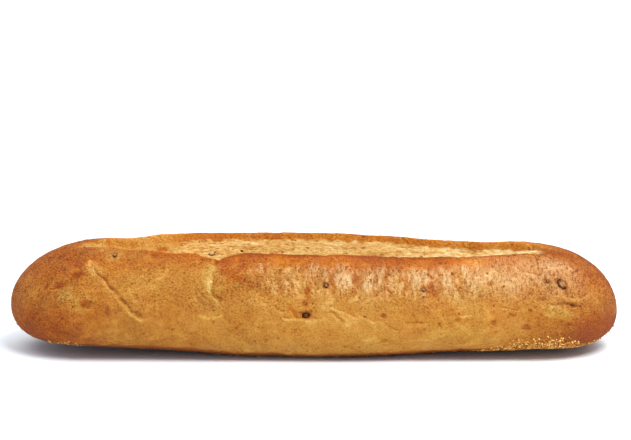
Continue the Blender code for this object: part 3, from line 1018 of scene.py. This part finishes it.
def make_bran():
    """Flakes of bran baked into the crust."""
    draw = np.random.default_rng(SEED + 1)
    x = LENGTH / 2 * 0.97 * draw.uniform(-1, 1, BRAN_COUNT)
    angle = np.radians(draw.uniform(-40, 220, BRAN_COUNT))
    kept = skin(x, angle)[1]["crumb"] < 0.05
    x, angle = x[kept], angle[kept]
    sizes = draw.uniform(0.45, 1.25, len(x)) ** 1.3 * MM
    return make_grit("bran", x, angle, sizes, 0.22, 0.06, draw)


def add_node(tree, kind, inputs=None, **settings):
    """A shader node. Each input is a value, or an output socket to link."""
    made = tree.nodes.new(kind)
    for name, value in settings.items():
        setattr(made, name, value)
    for name, value in (inputs or {}).items():
        if isinstance(value, bpy.types.NodeSocket):
            tree.links.new(value, made.inputs[name])
        else:
            made.inputs[name].default_value = value
    return made


def add_ramp(tree, value, stops):
    """A colour ramp with (place, sRGB 0-255) stops."""
    ramp = add_node(tree, "ShaderNodeValToRGB", {"Fac": value})
    elements = ramp.color_ramp.elements
    while len(elements) < len(stops):
        elements.new(0.5)
    for element, (place, colour) in zip(elements, stops):
        element.position = place
        element.color = (*(to_linear(channel) for channel in colour), 1)
    return ramp.outputs["Color"]


def to_linear(byte):
    """A channel of an sRGB colour, 0-255, as linear light."""
    share = byte / 255
    return share / 12.92 if share <= 0.04045 else ((share + 0.055) / 1.055) ** 2.4


def add_math(tree, operation, *values, clamp=False):
    """The outcome of an operation on values or sockets."""
    inputs = dict(enumerate(values))
    return add_node(tree, "ShaderNodeMath", inputs, operation=operation, use_clamp=clamp).outputs["Value"]


def add_weighted(tree, base, weights, textures):
    """The base value with each weighted texture added to it."""
    total = base
    for name, weight in weights.items():
        total = add_math(tree, "MULTIPLY_ADD", textures[name], weight, total)
    return total


def add_noise(tree, place, size, detail=2.0, rough=0.5):
    """Noise from 0 to 1 with lumps of about this size in mm."""
    inputs = {"Vector": place, "Scale": 1 / (size * MM), "Detail": detail, "Roughness": rough}
    return add_node(tree, "ShaderNodeTexNoise", inputs).outputs["Fac"]


def add_mix(tree, share, first, second):
    """Two colours mixed: the first at a share of 0 and the second at 1."""
    mix = add_node(tree, "ShaderNodeMix", {"Factor": share}, data_type="RGBA")
    for name, value in (("A", first), ("B", second)):
        socket = [s for s in mix.inputs if s.name == name and s.type == "RGBA"][0]
        if isinstance(value, bpy.types.NodeSocket):
            tree.links.new(value, socket)
        else:
            socket.default_value = value
    return [s for s in mix.outputs if s.type == "RGBA"][0]


def add_freckles(tree, place, spacing, size, edge):
    """1 in spots of many sizes, up to this radius in mm, and 0 between them."""
    cells = add_node(tree, "ShaderNodeTexVoronoi", {"Vector": place, "Scale": 1 / (spacing * MM)})
    lot = add_node(tree, "ShaderNodeSeparateColor", {"Color": cells.outputs["Color"]}).outputs["Red"]
    reach = add_math(tree, "MULTIPLY", add_math(tree, "POWER", lot, 2.2), size / spacing)
    inside = add_math(tree, "SUBTRACT", reach, cells.outputs["Distance"])
    return add_math(tree, "MULTIPLY", inside, spacing / edge, clamp=True)


def add_warp(tree, place, size, reach):
    """The place, shifted about by noise of this size, up to this far in mm."""
    inputs = {"Vector": place, "Scale": 1 / (size * MM), "Detail": 1.0}
    shift = add_node(tree, "ShaderNodeTexNoise", inputs).outputs["Color"]
    inputs = {0: shift, 1: (reach * MM,) * 3, 2: place}
    return add_node(tree, "ShaderNodeVectorMath", inputs, operation="MULTIPLY_ADD").outputs["Vector"]


def add_scaled(tree, place, factors):
    """The place, scaled along each axis."""
    inputs = {0: place, 1: factors}
    return add_node(tree, "ShaderNodeVectorMath", inputs, operation="MULTIPLY").outputs["Vector"]


def add_float_mix(tree, share, first, second):
    """Two values mixed: the first at a share of 0 and the second at 1."""
    return add_node(tree, "ShaderNodeMix", {0: share, 2: first, 3: second}).outputs[0]


def add_field_value(tree, name):
    """A field that the piece stores at its points."""
    return add_node(tree, "ShaderNodeAttribute", attribute_name=name).outputs["Fac"]


def new_material(name):
    """A material, with its node tree, its shader and the place on the piece."""
    material = bpy.data.materials.new(name)
    material.use_nodes = True
    tree = material.node_tree
    shader = tree.nodes["Principled BSDF"]
    place = add_node(tree, "ShaderNodeTexCoord").outputs["Object"]
    return material, tree, shader, place


def set_finish(shader, rough, specular):
    """How dull a surface is, and how strongly it mirrors."""
    shader.inputs["Roughness"].default_value = rough
    shader.inputs["Specular IOR Level"].default_value = specular


def add_bump(tree, shader, height, strength, distance):
    """Fine relief that only the light shows."""
    inputs = {"Height": height, "Strength": strength, "Distance": distance}
    bump = add_node(tree, "ShaderNodeBump", inputs)
    tree.links.new(bump.outputs["Normal"], shader.inputs["Normal"])


def crust_textures(tree, place, shine):
    """Fine textures of the crust, most of them from 0 to 1."""
    ragged = add_warp(tree, place, 0.9, 0.9)
    upward = add_noise(tree, add_scaled(tree, ragged, (1, 0.3, 0.3)), 0.75, 2, 0.6)
    onward = add_noise(tree, add_scaled(tree, ragged, (0.8, 1, 1)), 0.75, 2, 0.6)
    strokes = add_float_mix(tree, shine, onward, upward)
    offset = add_math(tree, "ABSOLUTE", add_math(tree, "SUBTRACT", strokes, 0.5))
    pebbles = add_node(tree, "ShaderNodeTexVoronoi", {"Vector": ragged, "Scale": 1 / (1.3 * MM)})
    return {
        "grain": add_noise(tree, place, 0.8, 3, 0.65),
        "fine_grain": add_noise(tree, place, 0.45, 2),
        "crumb_grain": add_noise(tree, add_scaled(tree, place, (0.5, 1, 1)), 1.1, 3, 0.65),
        "bran": add_freckles(tree, ragged, 2.6, 0.9, 0.5),
        "flecks": add_freckles(tree, ragged, 1.9, 0.9, 0.5),
        "pits": add_freckles(tree, ragged, 1.9, 0.75, 0.25),
        "strokes": strokes,
        "ridges": add_math(tree, "MULTIPLY_ADD", offset, -14.0, 1.0, clamp=True),
        "pebbles": pebbles.outputs["Distance"],
    }


def crust_colour(tree, fields, textures):
    """Golden to orange crust with a pale painted sheen mixed in where it shines, and the crumb in the cut."""
    speckle = add_weighted(tree, SPECKLE_BASE, SPECKLE, textures)
    toned = add_math(tree, "MULTIPLY_ADD", speckle, fields["coarseness"], fields["browning"], clamp=True)
    golden, orange = add_ramp(tree, toned, GOLDEN_STOPS), add_ramp(tree, toned, ORANGE_STOPS)
    painted_sheen = add_math(tree, "MULTIPLY", add_math(tree, "POWER", fields["gloss"], 2.0), PAINTED_SHEEN)
    colour = add_mix(tree, fields["warmth"], golden, orange)
    # Painted sheen: the pale colour is mixed in where the gloss field is high
    colour = add_mix(tree, painted_sheen, colour, add_ramp(tree, toned, PAINTED_SHEEN_STOPS))
    crumb_tone = add_weighted(tree, CRUMB_TONE_BASE, CRUMB_TONE, textures | fields)
    return add_mix(tree, fields["crumb"], colour, add_ramp(tree, crumb_tone, CRUMB_STOPS))


def crust_roughness(tree, fields, textures):
    """Smoother where the crust shines, and dull in the crumb."""
    rough = add_math(tree, "MULTIPLY_ADD", fields["gloss"], SHEEN_ROUGH - CRUST_ROUGH, CRUST_ROUGH)
    rough = add_math(tree, "ADD", add_math(tree, "MAXIMUM", rough, fields["crumb"]), -0.1)
    return add_math(tree, "MULTIPLY_ADD", textures["grain"], 0.2, rough, clamp=True)


def crust_material():
    """Baked crust with freckles, flecks and pits, and the torn crumb in the cut."""
    material, tree, shader, place = new_material("crust")
    names = ("browning", "warmth", "gloss", "coarseness", "crumb", "torn")
    fields = {name: add_field_value(tree, name) for name in names}
    textures = crust_textures(tree, place, fields["gloss"])
    tree.links.new(crust_colour(tree, fields, textures), shader.inputs["Base Color"])
    tree.links.new(crust_roughness(tree, fields, textures), shader.inputs["Roughness"])
    shader.inputs["Specular IOR Level"].default_value = CRUST_SPECULAR
    strength = add_math(tree, "MULTIPLY", fields["coarseness"], 0.8)
    add_bump(tree, shader, add_weighted(tree, 0.0, BUMPS, textures), strength, CRUST_BUMP)
    return material


def grit_material(name, stops, rough):
    """Grains or flakes, each in a tone of its own."""
    material, tree, shader, place = new_material(name)
    grain = add_noise(tree, place, 0.4)
    tone = add_math(tree, "MULTIPLY", add_field_value(tree, "tone"), 0.9)
    toned = add_math(tree, "MULTIPLY_ADD", grain, 0.3, tone)
    tree.links.new(add_ramp(tree, toned, stops), shader.inputs["Base Color"])
    set_finish(shader, rough, 0.1)
    return material


def kernel_material():
    """Toasted kernels, darkest at the rim and in the crease, where shade is painted."""
    material, tree, shader, place = new_material("kernel")
    grain = add_noise(tree, place, 0.8, 3)
    toast = add_math(tree, "SUBTRACT", add_field_value(tree, "toast"), 0.25)
    toned = add_math(tree, "MULTIPLY_ADD", grain, 0.5, toast)
    tree.links.new(add_ramp(tree, toned, KERNEL_STOPS), shader.inputs["Base Color"])
    add_bump(tree, shader, grain, 0.5, 0.2 * MM)
    set_finish(shader, 0.6, 0.06)
    return material


def dress(piece, material):
    """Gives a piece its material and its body."""
    piece.data.materials.clear()
    piece.data.materials.append(material)
    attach(piece, "root")


def make_floor():
    """The plain pale floor."""
    bpy.ops.mesh.primitive_plane_add(size=FLOOR_SIZE)
    floor = bpy.context.object
    floor.name = "floor"
    material, _, shader, _ = new_material("floor")
    shader.inputs["Base Color"].default_value = FLOOR_COLOUR
    set_finish(shader, 0.9, 0.1)
    floor.data.materials.append(material)


def add_light(name, kind, place, **settings):
    """A light at this place, aimed at the middle of the roll."""
    lamp = bpy.data.lights.new(name, kind)
    for setting, value in settings.items():
        setattr(lamp, setting, value)
    made = bpy.data.objects.new(name, lamp)
    made.location = place
    made.rotation_euler = Vector(place).to_track_quat("Z", "Y").to_euler()
    bpy.context.scene.collection.objects.link(made)


def make_light():
    """The even surroundings, the overhead light and the softbox."""
    world = bpy.data.worlds.new("studio")
    world.use_nodes = True
    background = world.node_tree.nodes["Background"]
    background.inputs["Color"].default_value = WORLD_COLOUR
    background.inputs["Strength"].default_value = WORLD_STRENGTH
    bpy.context.scene.world = world
    spread = math.radians(OVERHEAD_SPREAD)
    add_light("overhead", "SUN", OVERHEAD_FROM, energy=OVERHEAD_STRENGTH, color=OVERHEAD_COLOUR, angle=spread)
    add_light("softbox", "AREA", SOFTBOX_PLACE, energy=SOFTBOX_POWER, size=SOFTBOX_SIZE)


def make_camera():
    """A camera at the photo's view."""
    camera = bpy.data.cameras.new("camera")
    camera.lens = LENS
    camera.sensor_width = SENSOR
    camera.clip_end = 100
    eye = bpy.data.objects.new("camera", camera)
    eye.location = EYE
    eye.rotation_euler = (math.radians(90 - PITCH), 0, 0)
    bpy.context.scene.collection.objects.link(eye)
    bpy.context.scene.camera = eye


def set_colours():
    """Colours go to the picture as they are."""
    view = bpy.context.scene.view_settings
    view.view_transform = "Standard"
    view.look = "None"
    view.exposure = 0
    view.gamma = 1


crust = make_crust()
dress(crust, crust_material())
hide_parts("wheat_roll")
dress(make_kernels(), kernel_material())
dress(make_semolina(), grit_material("semolina", SEMOLINA_STOPS, 0.7))
dress(make_bran(), grit_material("bran", BRAN_STOPS, 0.5))
make_floor()
make_light()
make_camera()
set_colours()
